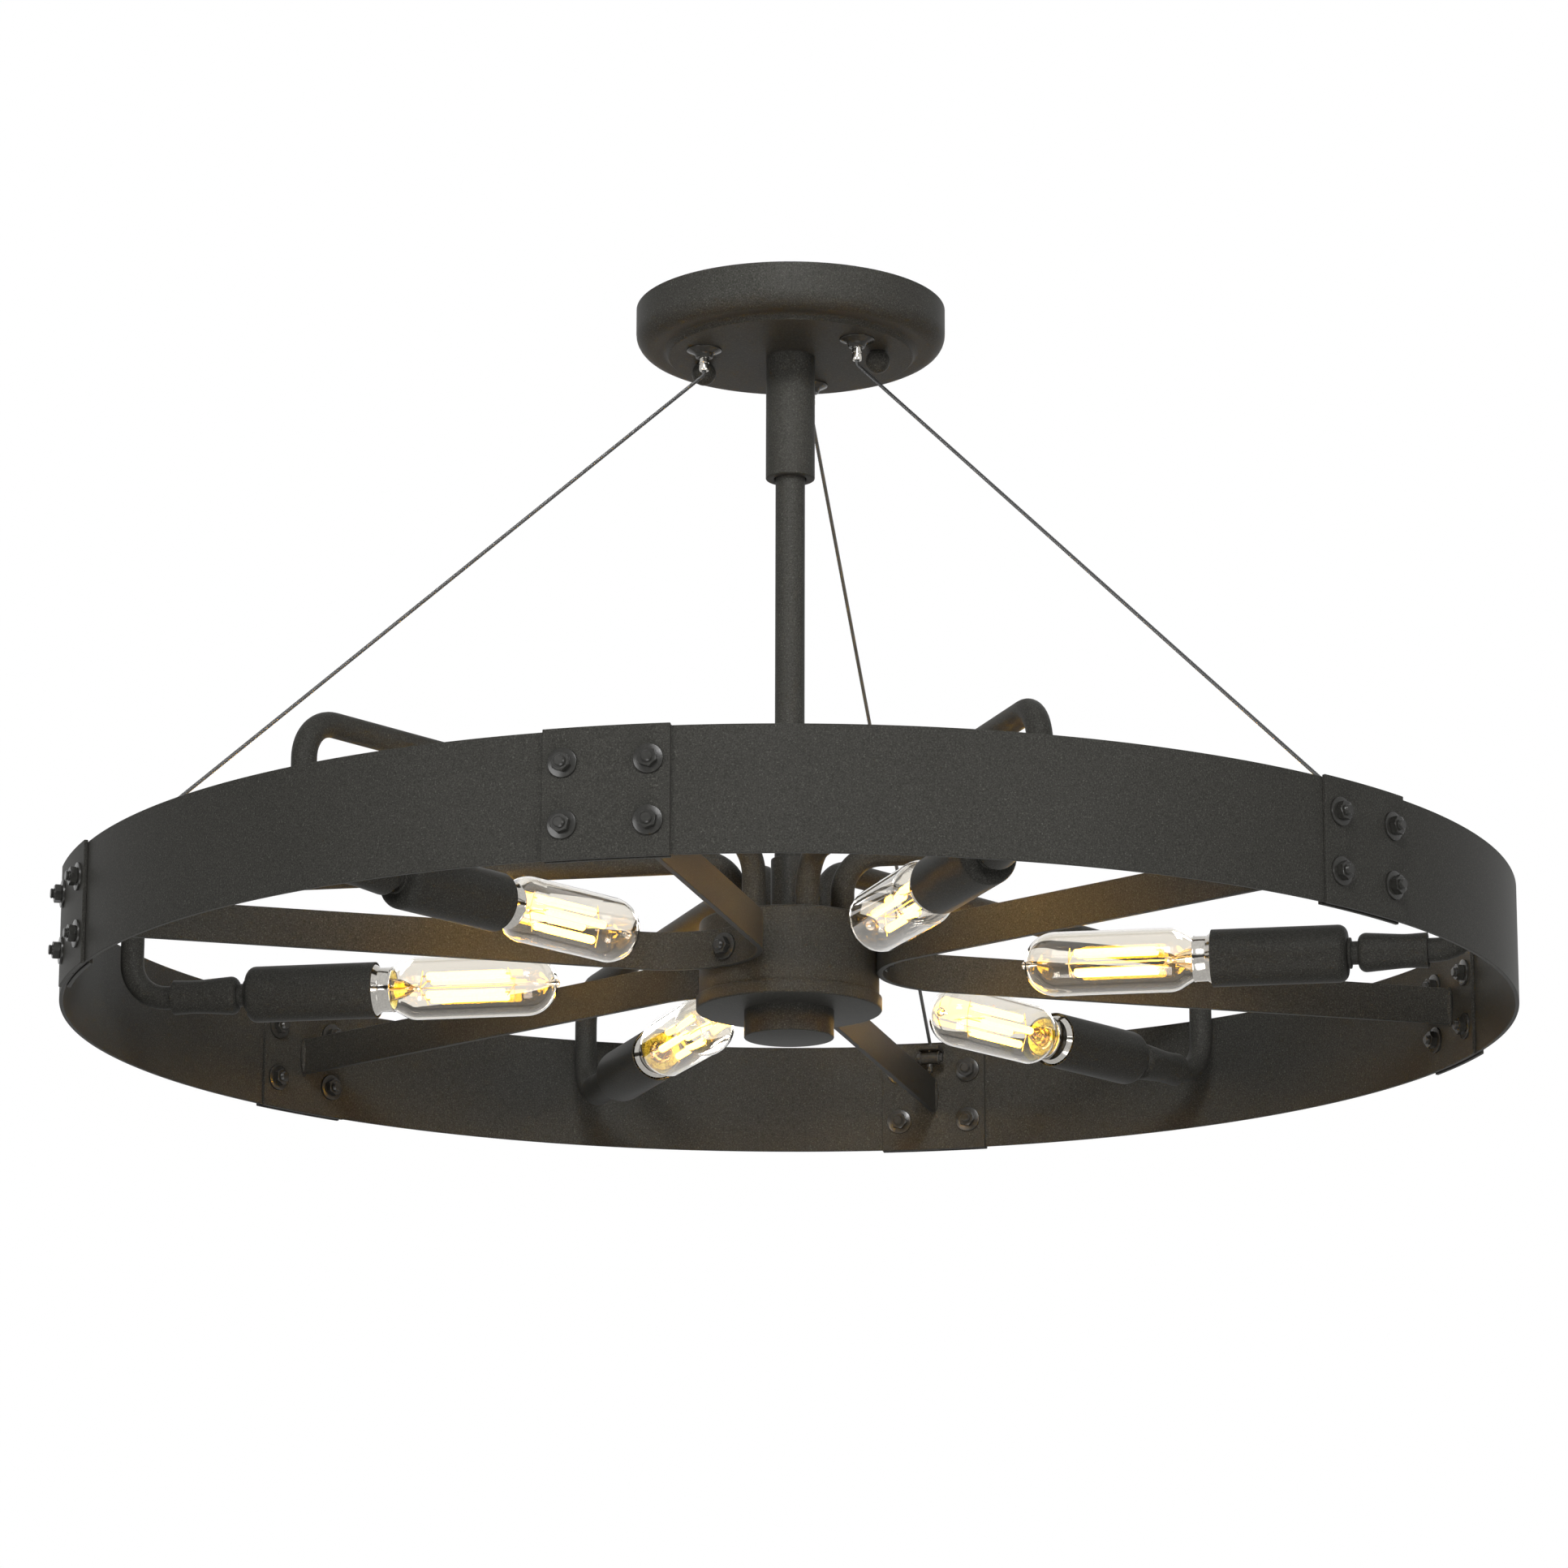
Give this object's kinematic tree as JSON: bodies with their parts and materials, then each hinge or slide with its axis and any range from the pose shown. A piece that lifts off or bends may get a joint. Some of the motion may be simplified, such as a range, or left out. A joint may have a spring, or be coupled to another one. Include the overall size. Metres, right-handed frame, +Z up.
{
  "type": "semi-flush ceiling light",
  "caption": "Wagon-wheel semi-flush ceiling light: flat rim band on spokes and wire cables, with tube arms curling over the rim to lamps that point at the hub",
  "frame": {"origin": "centre of the canopy's rim, on the ceiling plane and on the stem's axis", "axes": "+Z up into the ceiling; +X and -X pass through the two ball nuts and the two outlet-box slots; the wheel's rim joints stand at every 60 degrees from -Y"},
  "size_m": [0.722, 0.738, 0.38],
  "materials": {
    "black_paint": "fine-textured matte black powder coat",
    "nickel": "bright nickel plate",
    "wire_rope": "dark stranded wire rope",
    "zinc_steel": "zinc-plated steel",
    "brass": "plain brass screw shell on its insulating block",
    "clear_glass": "clear glass, faintly amber by the base"
  },
  "bodies": {
    "fixture": {"canopy": "black_paint", "mounting_strap": "zinc_steel", "strap_studs": "zinc_steel", "stem_sleeve": "black_paint", "stem_rod": "black_paint", "hub_collar": "black_paint", "hub_body": "black_paint", "hub_lid": "black_paint", "threaded_nipples": "zinc_steel", "locknuts": "zinc_steel", "arm_1": "black_paint", "arm_2": "black_paint", "arm_3": "black_paint", "arm_4": "black_paint", "arm_5": "black_paint", "arm_6": "black_paint", "socket_couplers": "black_paint", "socket_sleeve_1": "black_paint", "socket_sleeve_2": "black_paint", "socket_sleeve_3": "black_paint", "socket_sleeve_4": "black_paint", "socket_sleeve_5": "black_paint", "socket_sleeve_6": "black_paint", "lampholders": "brass", "band_segment_1": "black_paint", "band_segment_2": "black_paint", "band_segment_3": "black_paint", "band_segment_4": "black_paint", "band_segment_5": "black_paint", "band_segment_6": "black_paint", "outer_plates": "black_paint", "inner_plates": "black_paint", "rim_bolts": "black_paint", "spoke_1": "black_paint", "spoke_2": "black_paint", "spoke_3": "black_paint", "spoke_bolts": "black_paint", "cable_cones": "black_paint", "cable_1": "wire_rope", "cable_2": "wire_rope", "cable_3": "wire_rope", "cable_locks": "black_paint"},
    "finial": {"finial": "black_paint"},
    "ball_nut_right": {"ball_nut_right": "black_paint"},
    "ball_nut_left": {"ball_nut_left": "black_paint"},
    "nozzle_1": {"cable_nozzle_1": "nickel"},
    "nozzle_2": {"cable_nozzle_2": "nickel"},
    "nozzle_3": {"cable_nozzle_3": "nickel"},
    "bulb_1": {"bulb_glass_1": "clear_glass", "bulb_base_1": "nickel"},
    "bulb_2": {"bulb_glass_2": "clear_glass", "bulb_base_2": "nickel"},
    "bulb_3": {"bulb_glass_3": "clear_glass", "bulb_base_3": "nickel"},
    "bulb_4": {"bulb_glass_4": "clear_glass", "bulb_base_4": "nickel"},
    "bulb_5": {"bulb_glass_5": "clear_glass", "bulb_base_5": "nickel"},
    "bulb_6": {"bulb_glass_6": "clear_glass", "bulb_base_6": "nickel"}
  },
  "joints": [
    {"name": "bulb_turn_1", "type": "hinge", "parent": "fixture", "child": "bulb_1", "pos_m": [0.15988, 0.00614, -0.3475], "axis": [0.9993, 0.0384, 0], "continuous": true},
    {"name": "bulb_turn_2", "type": "hinge", "parent": "fixture", "child": "bulb_2", "pos_m": [0.07462, 0.14153, -0.3475], "axis": [0.4664, 0.8846, 0], "continuous": true},
    {"name": "bulb_turn_3", "type": "hinge", "parent": "fixture", "child": "bulb_3", "pos_m": [-0.08526, 0.13539, -0.3475], "axis": [-0.5329, 0.8462, 0], "continuous": true},
    {"name": "bulb_turn_4", "type": "hinge", "parent": "fixture", "child": "bulb_4", "pos_m": [-0.15988, -0.00614, -0.3475], "axis": [-0.9993, -0.0384, 0], "continuous": true},
    {"name": "bulb_turn_5", "type": "hinge", "parent": "fixture", "child": "bulb_5", "pos_m": [-0.07462, -0.14153, -0.3475], "axis": [-0.4664, -0.8846, 0], "continuous": true},
    {"name": "bulb_turn_6", "type": "hinge", "parent": "fixture", "child": "bulb_6", "pos_m": [0.08526, -0.13539, -0.3475], "axis": [0.5329, -0.8462, 0], "continuous": true},
    {"name": "finial_turn", "type": "hinge", "parent": "fixture", "child": "finial", "pos_m": [0, 0, -0.37], "axis": [0, 0, 1], "continuous": true},
    {"name": "ball_nut_turn_right", "type": "hinge", "parent": "fixture", "child": "ball_nut_right", "pos_m": [0.0456, 0, -0.03], "axis": [0, 0, 1], "continuous": true},
    {"name": "ball_nut_turn_left", "type": "hinge", "parent": "fixture", "child": "ball_nut_left", "pos_m": [-0.0456, 0, -0.03], "axis": [0, 0, 1], "continuous": true},
    {"name": "nozzle_press_1", "type": "slide", "parent": "fixture", "child": "nozzle_1", "axis": [0, 0, 1], "range_m": [0, 0.002], "stiffness_N_per_m": 300},
    {"name": "nozzle_press_2", "type": "slide", "parent": "fixture", "child": "nozzle_2", "axis": [0, 0, 1], "range_m": [0, 0.002], "stiffness_N_per_m": 300},
    {"name": "nozzle_press_3", "type": "slide", "parent": "fixture", "child": "nozzle_3", "axis": [0, 0, 1], "range_m": [0, 0.002], "stiffness_N_per_m": 300}
  ]
}
